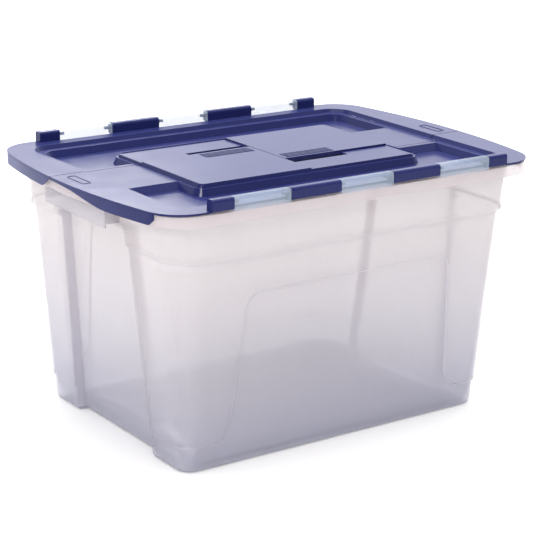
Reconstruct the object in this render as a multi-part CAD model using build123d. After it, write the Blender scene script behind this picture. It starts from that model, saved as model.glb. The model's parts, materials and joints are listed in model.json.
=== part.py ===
from build123d import *
import os
import math

# Flip-top storage tote: a clear tapered body whose two identical lid flaps turn on
# stub pins along its long sides. Millimetres, +Z up, X along the long side, the origin at
# the centre of the footprint on the floor. The front is the -Y long side.

# ---------------------------------------------------------------- driving dimensions
lid_length = 540.0  # over the bowed ends of the closed lid
body_width = 382.0  # over the hinge knuckles
body_height = 316.0  # floor to the top of the hinge knuckles
wall = 2.4  # body wall
draft = 0.09  # outward lean of every body wall, per unit of height
base_half_x = 209.0  # body at floor level, before the base band is set in
base_half_y = 151.0
base_radius = 20.0  # corner radius there, which grows with the draft
foot_top = 30.0  # top of the set-in base band
foot_inset = 2.0
band_low = 244.0  # underside of the proud upper band
band_proud = 3.2
recess_depth = 13.0  # set-back of the end walls between the corner columns
recess_top = 262.0
recess_half_low = 84.0  # half width of the recess at the floor
recess_half_high = 72.0
panel_top = 201.0
floor_thickness = 2.6
stack_lift = 2.5  # hollow under the floor, inside the standing rim
flange_low = 288.5  # lower edge of the rim's turned-down skirt
flange_skin = 2.2

lid_top = 304.0  # top face of the closed lid's border
lid_skin = 2.2
lid_half_y = 188.6
lid_bow = 22.5  # how much the ends bow outward
lid_corner = 44.0
knuckle_size = 11.4  # across the square hinge knuckles
pin_radius = 1.9
pin_reach = 7.0  # length of each stub pin beyond its knuckle
pin_fit = 0.06  # running fit of the pins in the body knuckles
side_play = 0.4  # end play of each lid knuckle
swing_radius = 8.4  # reach of a lid knuckle's lower outer corner from the axis
knuckle_breaks = [200.5, 173.0, 101.7, 35.4]  # half row, from the outside inward

bowl_half_x = 227.0  # inner edge of the lid's border
bowl_half_y = 163.0
bowl_radius = 28.0
shelf_level = 299.6
shelf_half = 48.0
trough_level = 291.4
plateau_half_x = 147.5
plateau_half_y = 88.0
plateau_low = 302.0
tab_reach = 36.0  # how far a tab reaches past the middle
border_seam = 28.0  # where the flaps part on the border
shelf_seam = 41.0  # where they part on the end shelves
seam_gap = 1.2
finger_length = 80.0
finger_width = 14.0
rib_setback = 10.0  # stiffening rib under each tab, behind the edge that the fingers lift
rib_skin = 2.2
rib_length = 92.0
rib_low = 291.4

skirt_drop = 12.3  # depth of the grip skirts on the lid's ends
skirt_skin = 2.0
skirt_end = 160.0  # where a skirt stops, near the corner

handle_x = 255.0  # outer face of the grip plates
handle_half = 66.0
handle_low = 265.0
handle_skin = 2.4
handle_rib_low = 286.0

# ---------------------------------------------------------------- worked-out places
axis_z = body_height - knuckle_size / 2
axis_y = body_width / 2 - knuckle_size / 2
knuckle_inner = body_width / 2 - knuckle_size
lid_under = lid_top - lid_skin
flange_top = lid_under - 1.0
flange_under = flange_top - flange_skin
lid_half_x = lid_length / 2
rim_half_x = lid_half_x - skirt_skin - 2.5


def save(shape, name):
    # one STEP file for each named piece
    shape.label = name
    export_step(shape, f"parts/{name}.step")


def block(x0, x1, y0, y1, z0, z1):
    # a plain box between two corners
    size = Box(x1 - x0, y1 - y0, z1 - z0)
    return Pos((x0 + x1) / 2, (y0 + y1) / 2, (z0 + z1) / 2) * size


def frustum(low, high):
    # a rounded-rectangle block that changes size with height
    # each end is (z, half x, half y, corner radius)
    ends = []
    for z, half_x, half_y, radius in (low, high):
        ends.append(Pos(0, 0, z) * RectangleRounded(2 * half_x, 2 * half_y, radius))
    return loft(Sketch() + ends)


def drafted(z0, z1, grow):
    # a stretch of the body's tapered outer form, set out by grow
    ends = []
    for z in (z0, z1):
        out = grow + draft * z
        ends.append((z, base_half_x + out, base_half_y + out, max(base_radius + out, 3)))
    return frustum(ends[0], ends[1])


def bowed_outline(half_x, half_y, bow, radius):
    # a rectangle whose two ends bow outward, with round corners
    corner = half_x - bow
    edges = [
        Line((-corner, -half_y), (corner, -half_y)),
        ThreePointArc((corner, -half_y), (half_x, 0), (corner, half_y)),
        Line((corner, half_y), (-corner, half_y)),
        ThreePointArc((-corner, half_y), (-half_x, 0), (-corner, -half_y)),
    ]
    face = make_face(edges)
    return fillet(face.vertices(), radius)


def raised(sketch, z0, z1):
    # a straight prism on a plan sketch
    return extrude(Pos(0, 0, z0) * sketch, amount=z1 - z0)


def turned(shape):
    # the same shape on the other long side: half a turn about the vertical axis
    return Rot(0, 0, 180) * shape


# ---------------------------------------------------------------- body
def end_recess(extra, depth):
    # the set-back between the corner columns, at both ends
    # extra widens it, and depth is how far it goes in from the outer form
    half_low = recess_half_low + extra
    half_high = recess_half_high + extra
    top = recess_top + extra
    side = Polyline((-half_low, 0), (half_low, 0), (half_high, top), (-half_high, top), close=True)
    prism = extrude(Plane.YZ * make_face(side), amount=2 * lid_half_x, both=True)
    return prism - drafted(-1, top + 1, -depth)


def long_wall_panels(inward):
    # the set-back on both long walls, level with the base band, between the corner shields
    # with inward above zero it is wider and deeper by the wall, for the hollow behind it
    foot = 154.0
    shoulder = 139.0
    ends = body_width
    outline = Polyline(
        (-ends, -1), (ends, -1), (ends, foot_top), (foot, foot_top), (shoulder, panel_top),
        (-shoulder, panel_top), (-foot, foot_top), (-ends, foot_top), close=True,
    )
    face = make_face(outline)
    shoulders = face.vertices().sort_by(Axis.Y)[-2:]
    face = fillet(shoulders, 16)
    feet = [v for v in face.vertices() if abs(v.Y - foot_top) < 0.01 and abs(v.X) < foot + 1]
    face = fillet(feet, 26)
    if inward > 0:
        face = offset(face, inward)
    prism = extrude(Plane.XZ * face, amount=body_width, both=True)
    return prism - drafted(-1 - inward, panel_top + inward + 1, -foot_inset - inward)


def body_form(inward):
    # the outer form, or with inward above zero the hollow that leaves that wall
    # each step of the hollow is a wall higher, so that the ledge outside it is as thick
    foot_step = foot_top + inward
    band_step = band_low + inward
    form = drafted(0, foot_step, -foot_inset - inward)
    form += drafted(foot_step, band_step, -inward)
    form += drafted(band_step, lid_under, band_proud - inward)
    return form - end_recess(inward, recess_depth + inward)


def make_body():
    outer = body_form(0) - long_wall_panels(0)
    hollow = body_form(wall) - long_wall_panels(wall)
    hollow -= block(-300, 300, -200, 200, -1, stack_lift + floor_thickness)
    low_rim = drafted(-1, stack_lift, -recess_depth - 12)
    return outer - hollow - low_rim


def rim_outline(inward):
    corner = lid_corner - 1.0 - inward
    return bowed_outline(rim_half_x - inward, body_width / 2 - inward, lid_bow, corner)


def make_rim():
    # flat ledge round the mouth with a turned-down skirt
    ring = raised(rim_outline(0), flange_low, flange_top)
    ring -= raised(rim_outline(flange_skin), flange_low - 1, flange_under)
    return ring - drafted(flange_low - 2, lid_top, band_proud)


def make_handle(side):
    # a grip plate with two returns and stiffening ribs, under the rim
    plate = block(handle_x - handle_skin, handle_x, -handle_half, handle_half, handle_low, flange_under)
    for y in (-handle_half, handle_half - handle_skin):
        plate += block(225, handle_x, y, y + handle_skin, handle_low + 4, flange_under)
    for step in range(-2, 3):
        y = step * 22.0
        plate += block(225, handle_x, y - 1, y + 1, handle_rib_low, flange_under)
    plate -= drafted(handle_low - 30, lid_top, band_proud)
    return plate if side > 0 else turned(plate)


# ---------------------------------------------------------------- hinge
def on_axis(radius, x0, x1):
    # a round bar on the front hinge's axis
    bar = Cylinder(radius, x1 - x0, rotation=(0, 90, 0))
    return Pos((x0 + x1) / 2, -axis_y, axis_z) * bar


def knuckle(x0, x1, low):
    # a square barrel with a round top, on the front row
    shape = block(x0, x1, -body_width / 2, -knuckle_inner, low, body_height)
    top_edges = shape.edges().filter_by(Axis.X).group_by(Axis.Z)[-1]
    return fillet(top_edges, 3.4)


def swinging(shape):
    # round off the lower outer corner, so that the knuckle clears the rim as it turns
    corner = block(-300, 300, -body_width, -axis_y, axis_z - 20, axis_z)
    return shape - (corner - on_axis(swing_radius, -350, 350))


def body_knuckle_spans():
    outer, middle, centre = knuckle_breaks[1:]
    return [(-outer, -middle), (-centre, centre), (middle, outer)]


def make_body_knuckles():
    # three clear knuckles stand on the rim, with a blind bore in each end for a pin
    body_wall = drafted(flange_top - 2, lid_under, band_proud)
    depth = pin_reach + 1.0
    solids = []
    for x0, x1 in body_knuckle_spans():
        solid = knuckle(x0, x1, flange_top) - body_wall
        solid -= on_axis(pin_radius + pin_fit, x0 - 1, x0 + depth)
        solid -= on_axis(pin_radius + pin_fit, x1 - depth, x1 + 1)
        solids.append(solid)
    return Compound(children=solids)


def make_flap_knuckles():
    # two long and two short knuckles, part of each flap
    tip, outer, middle, centre = knuckle_breaks
    spans = [(-tip, -outer), (-middle, -centre), (centre, middle), (outer, tip)]
    solids = [swinging(knuckle(x0 + side_play, x1 - side_play, lid_under)) for x0, x1 in spans]
    return Compound(children=solids)


def make_pins():
    # stub pins on the faces of the lid's knuckles, one into each end of every body knuckle
    solids = []
    for x0, x1 in body_knuckle_spans():
        solids.append(on_axis(pin_radius, x0 - side_play, x0 + pin_reach))
        solids.append(on_axis(pin_radius, x1 - pin_reach, x1 + side_play))
    return Compound(children=solids)


# ---------------------------------------------------------------- lid
def lid_form(drop, grow):
    # everything under the lid's top face, both flaps together
    # drop lowers it and grow widens its hollows, which gives the face underneath
    top = lid_top - drop
    shelf = shelf_level - drop
    floor = trough_level - drop
    form = raised(bowed_outline(lid_half_x, lid_half_y, lid_bow, lid_corner), floor - 6, top)
    # outer bowl: a first slope down to the shelf level, then a second into the trough
    bowl = frustum(
        (shelf, bowl_half_x - 3 + grow, bowl_half_y - 3 + grow, bowl_radius - 3 + grow),
        (top + 1, bowl_half_x + 0.7 + grow, bowl_half_y + 0.7 + grow, bowl_radius + 0.7 + grow),
    )
    trough = frustum(
        (floor, bowl_half_x - 16 + grow, bowl_half_y - 16 + grow, bowl_radius - 14 + grow),
        (shelf, bowl_half_x - 12 + grow, bowl_half_y - 12 + grow, bowl_radius - 10 + grow),
    )
    # the raised middle stands on a stepped foot, and the two end shelves stay out too
    plateau = frustum(
        (shelf, plateau_half_x + 2.0 - grow, plateau_half_y + 2.0 - grow, 7),
        (top + 2, plateau_half_x - grow, plateau_half_y - grow, 6),
    )
    plateau += frustum(
        (floor - 1, plateau_half_x + 9 - grow, plateau_half_y + 9 - grow, 16),
        (shelf, plateau_half_x + 5 - grow, plateau_half_y + 5 - grow, 12),
    )
    ramp = 8.0
    slope = Polyline(
        (-shelf_half - ramp + grow, floor - 1), (shelf_half + ramp - grow, floor - 1),
        (shelf_half - grow, shelf), (-shelf_half + grow, shelf), close=True,
    )
    shelves = extrude(Plane.YZ * make_face(slope), amount=bowl_half_x, both=True)
    form -= bowl + (trough - shelves) - plateau
    reach_x = plateau_half_x + 1 - grow
    reach_y = plateau_half_y + 1 - grow
    return form - block(-reach_x, reach_x, -reach_y, reach_y, plateau_low - drop, top + 5)


def lid_shell():
    return lid_form(0, 0) - lid_form(lid_skin, 1.2)


def front_region(gap):
    # plan of the front flap: its tab covers the left half, the back flap's the right
    x_end = lid_half_x + 10
    shelf_x = bowl_half_x - 4
    plateau_x = plateau_half_x + 6
    half = gap / 2
    left = [
        (-x_end, border_seam), (-shelf_x, border_seam), (-shelf_x, shelf_seam),
        (-plateau_x, shelf_seam), (-plateau_x, tab_reach), (0, tab_reach),
    ]
    right = [(-x, -y) for x, y in reversed(left)]
    path = [(x, y) for x, y in left + right]
    outline = Polyline(*path, (x_end, -300), (-x_end, -300), close=True)
    return offset(make_face(outline), -half, kind=Kind.INTERSECTION)


def tab_plate():
    # the raised tab on the left half of the front flap, with its front wall
    outline = frustum(
        (shelf_level, plateau_half_x + 2.0, plateau_half_y + 2.0, 7),
        (lid_top, plateau_half_x, plateau_half_y, 6),
    )
    left_half = block(-lid_half_x, -seam_gap / 2, -lid_half_y, lid_half_y, plateau_low, lid_top)
    return outline & left_half


def label_pad():
    # a plain raised border for a label, on the end of the flap's border
    centre = (-(bowl_half_x + lid_half_x) / 2 - 1, -2)
    frame = RectangleRounded(11, 38, 3) - RectangleRounded(9, 36, 2)
    return raised(Pos(*centre) * frame, lid_top - 0.5, lid_top + 0.5)


def tab_rib():
    # a stiffening rib under the tab, along the far side of the finger space
    edge = tab_reach - rib_setback
    return block(-rib_length, -seam_gap, edge - rib_skin, edge, rib_low, lid_under + 0.5)


def grip_ridges():
    # low ribs on the tab just inside its finger opening
    ridges = Part()
    for step in range(4):
        y = tab_reach - 6 - 4.5 * step
        ridges += block(-73, -7, y - 0.9, y + 0.9, lid_top - 0.5, lid_top + 0.6)
    return ridges


def make_flap_panel(shell):
    # cut one flap out of the whole lid, then add its tab
    region = raised(front_region(seam_gap), trough_level - 20, lid_top + 20)
    flap = shell & region
    flap += tab_plate() & region
    flap += tab_rib()
    flap += grip_ridges()
    flap += label_pad()
    # finger opening in the plateau beyond the other flap's tab, on the right
    flap -= block(1, finger_length, -tab_reach - finger_width, -tab_reach + 2, 280, lid_top + 5)
    # notches for the body's knuckles along the hinge side
    reach = knuckle_inner - 0.6
    row = knuckle_breaks[0] + 0.4
    flap -= block(-row, row, -lid_half_y - 5, -reach, 280, lid_top + 5)
    outer, middle, centre = knuckle_breaks[1:]
    tip = knuckle_breaks[0]
    for x0, x1 in ((-tip, -outer), (-middle, -centre), (centre, middle), (outer, tip)):
        flap += block(x0 + side_play, x1 - side_play, -knuckle_inner, -reach + 1, lid_under, lid_top)
    return flap


def skirt_ring():
    # the lid's edge turned down at both ends
    outline = bowed_outline(lid_half_x, lid_half_y, lid_bow, lid_corner)
    inner = bowed_outline(lid_half_x - skirt_skin, lid_half_y - skirt_skin, lid_bow, lid_corner - skirt_skin)
    return raised(outline, lid_under - skirt_drop, lid_under) - raised(inner, lid_under - 20, lid_under + 1)


def make_full_skirt():
    # right end of the front flap: full depth, cut on a slant beside the seam
    low = lid_under - skirt_drop
    profile = Polyline(
        (-skirt_end, lid_under), (-skirt_end, low + 5), (-skirt_end + 5, low),
        (-border_seam - 20, low), (-border_seam - 1.0, lid_under), close=True,
    )
    side = extrude(Plane.YZ * make_face(profile), amount=lid_half_x + 5)
    return skirt_ring() & side


def make_swelling_skirt():
    # left end of the front flap: starts shallow at the seam and swells to full depth
    low = lid_under - skirt_drop
    start = (border_seam - 1.0, lid_under - 1.5)
    curve = Spline(
        start, (-14, lid_under - 3), (-62, low + 2.2), (-92, low),
        tangents=((-1, -0.02), (-1, 0)),
    )
    rest = Polyline((-92, low), (-skirt_end + 6, low), (-skirt_end, low + 6), (-skirt_end, lid_under))
    top = Polyline((-skirt_end, lid_under), (border_seam - 1.0, lid_under), start)
    face = make_face([curve, *rest.edges(), *top.edges()])
    side = extrude(Plane.YZ * face, amount=-lid_half_x - 5)
    return skirt_ring() & side


# ---------------------------------------------------------------- assembly
shell = lid_shell()
front_pieces = {
    "flap_panel": make_flap_panel(shell),
    "flap_knuckles": make_flap_knuckles(),
    "hinge_pins": make_pins(),
    "flap_right_skirt": make_full_skirt(),
    "flap_left_skirt": make_swelling_skirt(),
}
for name, shape in front_pieces.items():
    save(shape, f"front_{name}")

back_names = {
    "flap_panel": "back_flap_panel",
    "flap_knuckles": "back_flap_knuckles",
    "hinge_pins": "back_hinge_pins",
    "flap_right_skirt": "back_flap_left_skirt",
    "flap_left_skirt": "back_flap_right_skirt",
}
for name, shape in front_pieces.items():
    save(turned(shape), back_names[name])

body_knuckles = make_body_knuckles()
save(body_knuckles, "front_body_knuckles")
save(turned(body_knuckles), "back_body_knuckles")
save(make_handle(1), "right_handle")
save(make_handle(-1), "left_handle")
save(make_rim(), "tote_rim")
save(make_body(), "tote_body")
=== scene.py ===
import json
import math

import bpy
import numpy as np
from mathutils import Matrix, Vector


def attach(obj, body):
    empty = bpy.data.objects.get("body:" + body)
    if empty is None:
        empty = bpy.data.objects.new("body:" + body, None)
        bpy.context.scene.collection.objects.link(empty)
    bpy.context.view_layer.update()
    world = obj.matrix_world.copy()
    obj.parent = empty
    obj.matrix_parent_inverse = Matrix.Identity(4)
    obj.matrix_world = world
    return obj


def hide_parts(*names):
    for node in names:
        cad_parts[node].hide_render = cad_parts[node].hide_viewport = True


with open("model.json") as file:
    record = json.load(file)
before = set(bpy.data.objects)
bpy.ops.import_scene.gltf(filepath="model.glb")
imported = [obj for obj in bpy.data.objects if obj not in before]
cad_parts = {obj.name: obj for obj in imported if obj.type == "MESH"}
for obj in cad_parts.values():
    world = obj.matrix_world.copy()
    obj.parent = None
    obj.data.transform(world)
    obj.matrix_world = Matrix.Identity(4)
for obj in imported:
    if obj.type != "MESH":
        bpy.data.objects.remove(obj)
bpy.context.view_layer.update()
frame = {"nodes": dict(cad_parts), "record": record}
mm = 0.001
toteHeight = 0.316
grainDepth = 0.0003  # height of the moulded grain, in metres
print("frame loaded")


class Wire:
    # wraps one shader socket, so that sums and products add their Math nodes
    def __init__(self, tree, socket):
        self.tree = tree
        self.socket = socket

    def join(self, operation, first, second):
        node = self.tree.nodes.new("ShaderNodeMath")
        node.operation = operation
        for slot, value in zip(node.inputs, (first, second)):
            if isinstance(value, Wire):
                self.tree.links.new(value.socket, slot)
            else:
                slot.default_value = value
        return Wire(self.tree, node.outputs[0])

    def __add__(self, other):
        return self.join("ADD", self, other)

    def __radd__(self, other):
        return self.join("ADD", other, self)

    def __sub__(self, other):
        return self.join("SUBTRACT", self, other)

    def __rsub__(self, other):
        return self.join("SUBTRACT", other, self)

    def __mul__(self, other):
        return self.join("MULTIPLY", self, other)

    def __rmul__(self, other):
        return self.join("MULTIPLY", other, self)


class Board:
    # a node tree, and the one way in which nodes are added to it
    def __init__(self, tree):
        self.tree = tree

    def node(self, kind, settings=None, sockets=None):
        # a node of that type: its settings first, then its sockets' values or links, by name or number
        made = self.tree.nodes.new(kind)
        for key, value in (settings or {}).items():
            if key == "stops":
                self.setStops(made.color_ramp, value)
            else:
                setattr(made, key, value)
        for key, value in (sockets or {}).items():
            self.feed(made.inputs[key], value)
        return made

    def setStops(self, ramp, stops):
        while len(ramp.elements) < len(stops):
            ramp.elements.new(0.5)
        for element, (spot, colour) in zip(ramp.elements, stops):
            element.position = spot
            element.color = (*colour, 1)

    def feed(self, socket, value):
        if isinstance(value, Wire):
            self.tree.links.new(value.socket, socket)
        elif isinstance(value, bpy.types.NodeSocket):
            self.tree.links.new(value, socket)
        else:
            socket.default_value = value


class Finish(Board):
    # one material and the nodes that feed its shader
    def __init__(self, name):
        self.material = bpy.data.materials.new(name)
        self.material.use_nodes = True
        super().__init__(self.material.node_tree)
        self.shader = self.tree.nodes["Principled BSDF"]
        self.place = self.node("ShaderNodeTexCoord").outputs["Object"]

    def noise(self, scale, detail=2.0, stretch=(1, 1, 1)):
        # soft mottling between 0 and 1, read at the surface's own place
        placed = self.node("ShaderNodeMapping", None, {"Vector": self.place, "Scale": stretch})
        sockets = {"Vector": placed.outputs[0], "Scale": scale, "Detail": detail}
        return Wire(self.tree, self.node("ShaderNodeTexNoise", None, sockets).outputs[0])

    def height(self):
        # height above the floor, in metres
        parts = self.node("ShaderNodeSeparateXYZ", None, {"Vector": self.place})
        return Wire(self.tree, parts.outputs["Z"])

    def ramp(self, factor, stops):
        return self.node("ShaderNodeValToRGB", {"stops": stops}, {"Fac": factor}).outputs[0]

    def blendColours(self, factor, first, second):
        # the colour mix has its factor at 0, its two colours at 6 and 7, and its result at 2
        sockets = {0: factor, 6: first, 7: second}
        return self.node("ShaderNodeMix", {"data_type": "RGBA"}, sockets).outputs[2]

    def bumps(self, factor, depth, reach):
        sockets = {"Strength": depth, "Distance": reach, "Height": factor}
        made = self.node("ShaderNodeBump", None, sockets)
        self.feed(self.shader.inputs["Normal"], made.outputs[0])

    def fixed(self, **values):
        for key, value in values.items():
            self.shader.inputs[key.replace("_", " ")].default_value = value


clearLook = {
    # tones by height: light near the mouth where the light falls, painted shade lower down
    "top": (0.71, 0.65, 0.665),
    "middle": (0.60, 0.57, 0.625),
    "bottom": (0.465, 0.465, 0.575),
    "thick": (0.50, 0.475, 0.55),  # where a ledge is seen edge on: denser plastic, with painted shade near the top and a painted highlight low down
    "alpha": 0.38,
    "paintedShadeOpacity": 0.09,  # how much more opaque it is at the floor than at the mouth, part of the painted shade low down
    # more opaque along the painted shade and highlight lines of the ledges
    "ledge": 0.55,
    "roughness": 0.20,
    "mottle": 0.08, "mottleScale": 9,
    "wear": 0.08, "wearScale": 60,
    "grain": 0.06, "grainScale": 420, "swirlScale": 14,
    "bendLight": 1.49,
}
gripLook = {**clearLook, "top": (0.50, 0.475, 0.53), "alpha": 0.46}
rimLook = {**clearLook, "top": (0.62, 0.56, 0.585), "alpha": 0.50}
# the knuckles' top tone is bluer and darker, a painted tint of the navy lid seen through them
knuckleLook = {**clearLook, "top": (0.44, 0.52, 0.64), "alpha": 0.36, "roughness": 0.12}


def clearPlastic(name, look):
    # painted light near the mouth and painted shade low down, warm above and cooler below; along the ledges
    # painted lines, dark as shade near the top and light as a highlight low down, where the plastic is also
    # denser seen edge on
    made = Finish(name)
    rise = made.height() * (1 / toteHeight) + (made.noise(look["mottleScale"], 3) - 0.5) * look["mottle"]
    tones = [(0.0, look["bottom"]), (0.42, look["middle"]), (0.8, look["top"])]
    thickness = made.node("ShaderNodeAttribute", {"attribute_name": "ledge"})
    ledge = Wire(made.tree, thickness.outputs["Fac"])
    tint = made.blendColours(ledge, made.ramp(rise, tones), (*look["thick"], 1))
    made.feed(made.shader.inputs["Base Color"], tint)
    # painted shade: more opaque low down, where the tones are darker
    paintedShadeOpacity = (1 - rise) * look["paintedShadeOpacity"]
    made.feed(made.shader.inputs["Alpha"], ledge * look["ledge"] + paintedShadeOpacity + look["alpha"])
    worn = made.noise(look["wearScale"], 2) * look["wear"] + look["roughness"]
    made.feed(made.shader.inputs["Roughness"], worn)
    grain = made.noise(look["grainScale"], 2) + made.noise(look["swirlScale"], 1) * 2
    made.bumps(grain, look["grain"], grainDepth)
    made.fixed(IOR=look["bendLight"])
    return made.material


navyLook = {
    "deep": (0.009, 0.013, 0.078),
    "light": (0.014, 0.019, 0.108),
    "roughness": 0.14,
    "shine": 0.20,
    "haze": 0.30,  # the milky veil of the plastic at a low angle
    "hazeTint": (0.34, 0.38, 1.0, 1),
    "hazeRoughness": 0.35,
    "cloudScale": 7, "cloudStretch": (1, 2.4, 1),
    "wear": 0.10, "wearScale": 35,
    "grain": 0.08, "grainScale": 900, "swirlScale": 25, "swirl": 1.5,
    "bendLight": 1.5,
}


def navyPlastic():
    # deep blue with faint cloudy streaks, and a fine moulded grain
    made = Finish("navy plastic")
    look = navyLook
    cloud = made.noise(look["cloudScale"], 4, look["cloudStretch"])
    tint = made.blendColours(cloud, (*look["deep"], 1), (*look["light"], 1))
    made.feed(made.shader.inputs["Base Color"], tint)
    worn = made.noise(look["wearScale"], 3) * look["wear"] + look["roughness"]
    made.feed(made.shader.inputs["Roughness"], worn)
    grain = made.noise(look["grainScale"], 2) + made.noise(look["swirlScale"], 1) * look["swirl"]
    made.bumps(grain, look["grain"], grainDepth)
    made.fixed(IOR=look["bendLight"], Specular_IOR_Level=look["shine"])
    made.fixed(Sheen_Weight=look["haze"], Sheen_Roughness=look["hazeRoughness"])
    made.fixed(Sheen_Tint=look["hazeTint"])
    return made.material


finishes = {"clear_body": clearPlastic("clear plastic", clearLook), "navy_lid": navyPlastic()}
gripFinish = clearPlastic("clear grip plastic", gripLook)
rimFinish = clearPlastic("clear rim plastic", rimLook)
knuckleFinish = clearPlastic("clear knuckle plastic", knuckleLook)
ownFinish = {
    "left_handle": gripFinish, "right_handle": gripFinish, "tote_rim": rimFinish,
    "front_body_knuckles": knuckleFinish, "back_body_knuckles": knuckleFinish,
}
slotOf = {row["node"]: row["material_slot"] for row in frame["record"]["subparts"]}
for nodeName, nodeObject in frame["nodes"].items():
    nodeObject.data.materials.clear()
    nodeObject.data.materials.append(ownFinish.get(nodeName, finishes[slotOf[nodeName]]))
print("finishes ready")

edgeLook = {
    # radius of the moulded edges, in millimetres
    "front_flap_panel": 1.0, "back_flap_panel": 1.0,
    "front_flap_knuckles": 1.7, "back_flap_knuckles": 1.7,
    "front_flap_left_skirt": 0.5, "front_flap_right_skirt": 0.5,
    "back_flap_left_skirt": 0.5, "back_flap_right_skirt": 0.5,
    "front_body_knuckles": 0.6, "back_body_knuckles": 0.6,
    "left_handle": 0.6, "right_handle": 0.6,
    "tote_rim": 0.6,
}


edgeRules = {
    "weld": 0.00002,  # in metres
    "flat": 1.0,  # faces within this many degrees become one
    "sharp": 32.0,  # edges past this many degrees are rounded
    "segments": 3,
}


def softenEdges(nodeObject, radius):
    # join the loose triangles, drop the flat ones' lines, and round what is sharp
    weld = nodeObject.modifiers.new("joined", "WELD")
    weld.merge_threshold = edgeRules["weld"]
    flat = nodeObject.modifiers.new("flat faces", "DECIMATE")
    flat.decimate_type = "DISSOLVE"
    flat.angle_limit = math.radians(edgeRules["flat"])
    bevel = nodeObject.modifiers.new("rounded edges", "BEVEL")
    bevel.width = radius * mm
    bevel.segments = edgeRules["segments"]
    bevel.limit_method = "ANGLE"
    bevel.angle_limit = math.radians(edgeRules["sharp"])
    bevel.use_clamp_overlap = True
    shading = nodeObject.modifiers.new("flat shading", "WEIGHTED_NORMAL")
    shading.weight = 100


for nodeName, radius in edgeLook.items():
    softenEdges(frame["nodes"][nodeName], radius)
print("edges rounded")


bodyLook = {
    # the moulding's own sizes, in millimetres
    "baseX": 209.0, "baseY": 151.0, "baseRadius": 20.0, "draft": 0.09,
    "wall": 2.4, "floor": 5.1, "hollow": 2.5,
    "foot": 30.0, "footInset": 2.0, "band": 244.0, "bandProud": 3.2,
    "recess": 13.0, "recessTop": 262.0, "recessLow": 84.0, "recessHigh": 72.0,
    "panelFoot": 154.0, "panelShoulder": 139.0, "panelTop": 201.0,
    "shoulderRadius": 16.0, "footRadius": 26.0,
    "edge": 0.7,  # half the height over which a step is rounded
    "recessEdge": 1.2,  # the same for the recess's side, sideways
    "sole": 4.5,  # radius of the bottom edge
    "standing": 24.6, "standingEdge": 25.4, "standingRise": 0.6,  # the ring that it stands on
    "hollowFrom": 26.5,  # how far in the underside's hollow begins
    "middle": 48.0,  # how far in the last ring lies, round the middle point
    "lip": 0.6,  # rounding at the mouth
    "insideRound": 12.0, "tray": 22.0, "trayRise": 1.6,
}
lineLook = {
    # half widths, in millimetres, and strengths of the painted lines along the steps, shade near the top
    # and highlight low down
    "ring": 1.2, "footStrength": 0.8,
    "recessSide": 1.8, "recessRoof": 1.6, "recessStrength": 0.7,
    "panel": 1.5,
}
columnPlan = {
    # columns in each stretch of a quarter ring; the long wall's are (place, count) along its span
    "recess": 4, "recessSide": 9, "end": 5, "corner": 12,
    "span": 188.0, "long": ((188.0, 0), (174, 2), (118, 52), (0.0, 5)),
    "lean": ((0, 0), (100, 1), (174, 1), (188, 0)),  # (place, share of the panel side's slant)
}
wallTop = frame["nodes"]["tote_body"].bound_box[1][2] / mm


def easeStep(value, half):
    # 0 below -half, 1 above half, and a smooth S between
    t = np.clip((value + half) / (2 * half), 0, 1)
    return t * t * (3 - 2 * t)


def stepPeak(value, half):
    # 1 at zero, falling smoothly to 0 at half on either side
    t = np.clip(1 - np.abs(value) / half, 0, 1)
    return t * t * (3 - 2 * t)


def panelDepth(across, height):
    # signed distance inside the set-back: below the foot line, or within the slanted sides and
    # under the top, with the shoulder an arc and the foot flared by another
    look = bodyLook
    slope = (look["panelFoot"] - look["panelShoulder"]) / (look["panelTop"] - look["foot"])
    side = (look["panelFoot"] - slope * (height - look["foot"]) - np.abs(across)) / math.hypot(1, slope)
    under = look["panelTop"] - height
    radius = look["shoulderRadius"]
    nearSide = np.minimum(side, radius) - radius
    nearTop = np.minimum(under, radius) - radius
    turned = radius - np.hypot(nearSide, nearTop)
    arch = np.where((side < radius) & (under < radius), turned, np.minimum(side, under))
    band = look["foot"] - height
    flare = look["footRadius"]
    joined = np.maximum(arch, band)
    rounded = np.hypot(flare + arch, flare + band) - flare
    return np.where((arch > -flare) & (band > -flare), rounded, joined)


def spread(*stops):
    # evenly spaced values between stops given as (value, count), joined end to end
    parts = [np.linspace(a[0], b[0], b[1], endpoint=False) for a, b in zip(stops, stops[1:])]
    return np.concatenate(parts + [[stops[-1][0]]])


def outsideRise():
    # heights of the outer rows, close together where the wall steps
    look = bodyLook
    e = look["edge"] + 0.2
    return spread((look["sole"], 0), (look["foot"] - e, 10), (look["foot"] + e, 6), (60, 28), (178, 10),
                  (look["panelTop"] + 2, 26), (look["band"] - e, 4), (look["band"] + e, 6),
                  (look["recessTop"] - e, 4), (look["recessTop"] + e, 6), (wallTop - look["lip"], 6))


def insideRise():
    # the same steps, a wall higher, from the mouth down to the rounded floor
    look = bodyLook
    e = look["edge"] + 0.2
    w = look["wall"]
    start = look["floor"] + look["insideRound"]
    rise = spread((start, 0), (look["foot"] + w - e, 5), (look["foot"] + w + e, 6),
                  (62, 24), (178, 10), (look["panelTop"] + w + 2, 24), (look["band"] + w - e, 4),
                  (look["band"] + w + e, 6), (look["recessTop"] + w - e, 3), (look["recessTop"] + w + e, 6),
                  (wallTop - look["lip"], 5))
    return rise[::-1]


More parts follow.
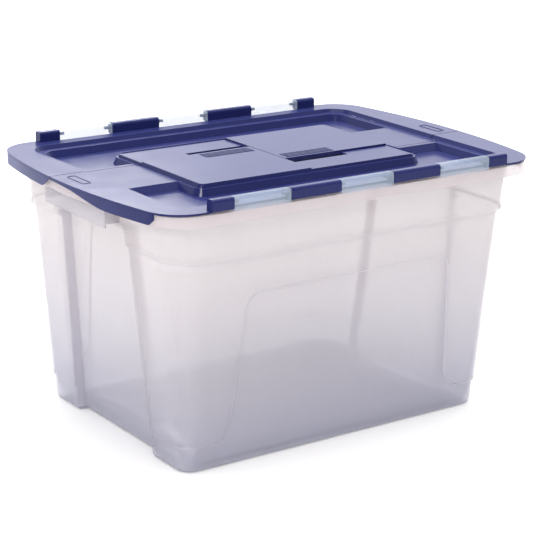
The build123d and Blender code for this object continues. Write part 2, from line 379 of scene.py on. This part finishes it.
def bodyRows():
    # one row per ring: height, how far it is set in, and 1 for the inner face
    look = bodyLook
    under = [(look["hollow"], look["middle"], 0), (look["hollow"], look["hollowFrom"], 0),
             (look["standingRise"], look["standingEdge"], 0), (0.0, look["standing"], 0)]
    sole = look["sole"]
    turn = np.linspace(0, math.pi / 2, 7)
    under += [(sole * (1 - math.cos(t)), sole * (1 - math.sin(t)), 0) for t in turn[:-1]]
    outer = [(z, 0, 0) for z in outsideRise()]
    lip = look["lip"]
    brow = lip / 3
    mouth = [(wallTop - brow, brow, 0), (wallTop, lip, 0), (wallTop, lip, 1), (wallTop - brow, brow, 1)]
    inner = [(z, 0, 1) for z in insideRise()]
    radius = look["insideRound"]
    turn = np.linspace(0, math.pi / 2, 9)[1:]
    bend = [(look["floor"] + radius * (1 - math.sin(t)), radius * (1 - math.cos(t)), 1) for t in turn]
    trayTop = look["floor"] + look["trayRise"]
    tray = [(look["floor"], look["tray"] - 2, 1), (look["floor"] + 0.5, look["tray"] - 1, 1),
            (trayTop, look["tray"] + 1.5, 1), (trayTop, look["middle"], 1)]
    return np.array(under + outer + mouth + inner + bend + tray, dtype=float)


def quarterRing(rows):
    # one quarter of every ring: the recess, its side, the column, the round corner, the long wall.
    # x and y are the base's half sizes, plus the draft times the height, plus the band's and the foot's
    # smooth steps, less the wall on the inner face. The corner is a quarter circle, and in the recess x
    # falls by the recess's depth through a smooth step across its side and under its top.
    look = bodyLook
    plan = columnPlan
    lines = lineLook
    z, inset, inner = [column[:, None] for column in rows.T]
    w = look["wall"] * inner
    e = look["edge"]
    band = look["bandProud"] * easeStep(z - look["band"] - w, e)
    foot = look["footInset"] * (1 - easeStep(z - look["foot"] - w, e))
    out = band - foot - w - inset
    halfX = look["baseX"] + out + look["draft"] * z
    halfY = look["baseY"] + out + look["draft"] * z
    radius = np.maximum(look["baseRadius"] + out + look["draft"] * z, 3)
    # lines along the foot and band steps, painted as shade near the top and as a highlight low down
    footLine = stepPeak(z - look["foot"] - w, lines["ring"]) * lines["footStrength"]
    ledge = stepPeak(z - look["band"] - w, lines["ring"]) + footLine
    # end side, from the middle to the start of the corner
    mouth = look["recessLow"] + (look["recessHigh"] - look["recessLow"]) * z / look["recessTop"] + w
    ease = look["recessEdge"]
    flat = np.linspace(0, 1, plan["recess"])[None, :-1] * (mouth - ease)
    side = mouth + np.linspace(-ease, ease, plan["recessSide"])[None, :]
    column = (mouth + ease) + np.linspace(0, 1, plan["end"])[None, 1:] * (halfY - radius - mouth - ease)
    endY = np.concatenate([flat, side, column], axis=1)
    inRecess = (1 - easeStep(endY - mouth, ease)) * (1 - easeStep(z - look["recessTop"] - w, e))
    recessX = look["baseX"] + look["draft"] * z - look["recess"] - w - inset
    endX = halfX + (recessX - halfX) * inRecess
    # lines along the recess's side and roof, painted the same way
    sideLine = stepPeak(endY - mouth, lines["recessSide"]) * (z < look["recessTop"] + w)
    roofLine = stepPeak(z - look["recessTop"] - w, lines["recessRoof"]) * (endY < mouth)
    endLedge = np.where(inRecess > 0.5, 0, ledge)
    endLine = np.maximum(endLedge, np.maximum(sideLine, roofLine) * lines["recessStrength"])
    # the corner, a quarter circle
    turn = np.linspace(0, math.pi / 2, plan["corner"])[None, 1:]
    arcX = halfX - radius + radius * np.cos(turn)
    arcY = halfY - radius + radius * np.sin(turn)
    # the long wall, close together where the panel's side and shoulder are
    steps = spread(*plan["long"])[1:][None, :]
    slope = (look["panelFoot"] - look["panelShoulder"]) / (look["panelTop"] - look["foot"])
    middle = (look["panelTop"] + look["foot"]) / 2
    lean = slope * (middle - np.clip(z - w, look["foot"], look["panelTop"]))
    leanPlaces, leanShares = zip(*plan["lean"])
    followed = steps + lean * np.interp(steps, leanPlaces, leanShares)
    longX = (halfX - radius) * followed / plan["span"]
    depth = panelDepth(longX, z - w) + w
    within = easeStep(depth - e * 0.5, e) * look["footInset"] - foot
    longY = halfY - np.clip(within, 0, look["footInset"]) + 0 * longX
    # lines round the panel, painted the same way
    panelLine = stepPeak(depth - e * 0.5, lines["panel"]) * (z > look["foot"] + w + 2)
    longLine = np.maximum(ledge * (depth < 2), panelLine)
    longLine = np.where(z > look["panelTop"] + 12, ledge, longLine)
    line = np.concatenate([endLine, ledge + 0 * arcX, longLine], axis=1) * (1 - inner) * (inset < 0.1)
    quarterX = np.concatenate([endX, arcX, longX], axis=1)
    quarterY = np.concatenate([endY, arcY, longY], axis=1)
    return quarterX, quarterY, line


def mirrored(quarter, signX, signY):
    # repeat a quarter's values in the other three, without the points that they share
    half = np.concatenate([quarter, signX * quarter[:, ::-1][:, 1:]], axis=1)
    return np.concatenate([half, signY * half[:, ::-1][:, 1:-1]], axis=1)


def ringMesh(name, ringX, ringY, ringZ, capLow, capHigh):
    # stack the rings into a closed skin, with a fan to one point at each end
    rows, columns = ringX.shape
    height = np.broadcast_to(ringZ, ringX.shape)
    points = np.stack([ringX, ringY, height], axis=-1).reshape(-1, 3)
    points = np.concatenate([points, [capLow, capHigh]]) * mm
    here = np.arange(columns)
    onward = (here + 1) % columns
    base = (np.arange(rows - 1) * columns)[:, None]
    quads = np.stack([base + here, base + onward, base + columns + onward, base + columns + here], axis=-1)
    first, last = rows * columns, rows * columns + 1
    fanLow = np.stack([np.full(columns, first), onward, here], axis=-1)
    top = (rows - 1) * columns
    fanHigh = np.stack([np.full(columns, last), top + here, top + onward], axis=-1)
    faces = quads.reshape(-1, 4).tolist() + fanLow.tolist() + fanHigh.tolist()
    mesh = bpy.data.meshes.new(name)
    mesh.from_pydata(points.tolist(), [], faces)
    mesh.polygons.foreach_set("use_smooth", np.ones(len(mesh.polygons), dtype=bool))
    mesh.update()
    piece = bpy.data.objects.new(name, mesh)
    bpy.context.collection.objects.link(piece)
    return piece


def makeToteShell():
    rows = bodyRows()
    quarterX, quarterY, quarterLine = quarterRing(rows)
    ringX = mirrored(quarterX, -1, 1)
    ringY = mirrored(quarterY, 1, -1)
    middle = (0, 0, bodyLook["hollow"])
    tray = (0, 0, bodyLook["floor"] + bodyLook["trayRise"])
    shell = ringMesh("toteShell", ringX, ringY, rows[:, :1], middle, tray)
    # the painted shade and highlight lines, stored for the clear plastic to read
    line = np.append(mirrored(quarterLine, 1, 1).ravel(), [0, 0])
    shell.data.attributes.new("ledge", "FLOAT", "POINT").data.foreach_set("value", line.astype(np.float32))
    shell.data.materials.append(finishes["clear_body"])
    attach(shell, "tote")
    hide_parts("tote_body")


makeToteShell()
print("tote shell ready")

stageLook = {
    "floor": 0.86, "floorMottle": 0.02, "floorRoughness": 0.9, "size": 160.0,
    "gap": 0.0003,  # the paper lies just under the foot, so that the two faces don't fight
    "skyToward": (0.50, 0.70, 0.50),  # where the studio is brightest
    "skyDim": 0.50, "skyBright": 1.45,
    "skyFrom": -0.3, "skyTo": 0.9,  # where the wash begins and ends, as cosines from that side
    "backdrop": 1.0,  # the paper backdrop's own white, where it is seen directly
    "lampTarget": (0, 0, 0.2),
}


def makeFloor():
    half = stageLook["size"] / 2
    low = -stageLook["gap"]
    mesh = bpy.data.meshes.new("studioFloor")
    corners = [(-half, -half, low), (half, -half, low), (half, half, low), (-half, half, low)]
    mesh.from_pydata(corners, [], [(0, 1, 2, 3)])
    floor = bpy.data.objects.new("studioFloor", mesh)
    bpy.context.collection.objects.link(floor)
    look = Finish("studio paper")
    grey = stageLook["floor"]
    stops = [(0, (grey,) * 3), (1, (grey + stageLook["floorMottle"],) * 3)]
    look.feed(look.shader.inputs["Base Color"], look.ramp(look.noise(3, 2), stops))
    look.fixed(Roughness=stageLook["floorRoughness"])
    mesh.materials.append(look.material)


lamps = {
    # name: (place, size, power, colour)
    "top": ((-0.2, -0.1, 2.6), 2.6, 60, (1, 0.985, 0.97)),
    "left": ((-2.2, -1.5, 1.9), 0.55, 34, (1, 0.98, 0.98)),
    "edge": ((0.9, 2.0, 1.5), 0.45, 22, (1, 1, 1)),
}


def makeLamp(name, place, size, power, colour):
    light = bpy.data.lights.new(name, "AREA")
    light.shape = "SQUARE"
    light.size = size
    light.energy = power
    light.color = colour
    lamp = bpy.data.objects.new(name, light)
    lamp.location = place
    aim = Vector(stageLook["lampTarget"]) - Vector(place)
    lamp.rotation_euler = aim.to_track_quat("-Z", "Y").to_euler()
    bpy.context.collection.objects.link(lamp)


def makeSky():
    # a soft wash of light that grows towards one side of the studio
    world = bpy.data.worlds.new("studio")
    world.use_nodes = True
    board = Board(world.node_tree)
    back = world.node_tree.nodes["Background"]
    place = board.node("ShaderNodeTexCoord").outputs["Generated"]
    toward = Vector(stageLook["skyToward"]).normalized()
    facing = board.node("ShaderNodeVectorMath", {"operation": "DOT_PRODUCT"}, {0: place, 1: toward})
    wash = board.node("ShaderNodeMapRange", {"interpolation_type": "SMOOTHSTEP"}, {
        "Value": facing.outputs["Value"],
        "From Min": stageLook["skyFrom"], "From Max": stageLook["skyTo"],
        "To Min": stageLook["skyDim"], "To Max": stageLook["skyBright"],
    })
    # the number mix has its factor at 0, its two numbers at 2 and 3, and its result at 0
    seen = board.node("ShaderNodeLightPath").outputs["Is Camera Ray"]
    sockets = {0: seen, 2: wash.outputs["Result"], 3: stageLook["backdrop"]}
    plain = board.node("ShaderNodeMix", None, sockets)
    board.feed(back.inputs["Strength"], plain.outputs[0])
    board.feed(back.inputs["Color"], (1, 1, 1, 1))
    bpy.context.scene.world = world
    bpy.context.scene.view_settings.view_transform = "Standard"


cameraLook = {
    "turn": -35.13,  # degrees from straight front
    "rise": 16.76,
    "roll": 0.9,
    "target": (0.0063, 0.0060, 0.1630),
    "distance": 2.146,
    "lens": 122.1,
    "far": 400,  # past the edge of the floor
}


def makeCamera():
    turn = math.radians(cameraLook["turn"])
    rise = math.radians(cameraLook["rise"])
    roll = math.radians(cameraLook["roll"])
    back = Vector((math.sin(turn) * math.cos(rise), -math.cos(turn) * math.cos(rise), math.sin(rise)))
    right = (-back).cross(Vector((0, 0, 1))).normalized()
    up = right.cross(-back)
    rolledRight = right * math.cos(roll) + up * math.sin(roll)
    rolledUp = up * math.cos(roll) - right * math.sin(roll)
    turned = Matrix((rolledRight, rolledUp, back)).transposed().to_4x4()
    lens = bpy.data.cameras.new("camera")
    lens.lens = cameraLook["lens"]
    lens.clip_end = cameraLook["far"]
    camera = bpy.data.objects.new("camera", lens)
    place = Vector(cameraLook["target"]) + back * cameraLook["distance"]
    camera.matrix_world = Matrix.Translation(place) @ turned
    bpy.context.collection.objects.link(camera)
    bpy.context.scene.camera = camera


makeFloor()
makeSky()
for lampName, settings in lamps.items():
    makeLamp(lampName, *settings)
makeCamera()
print("stage ready")
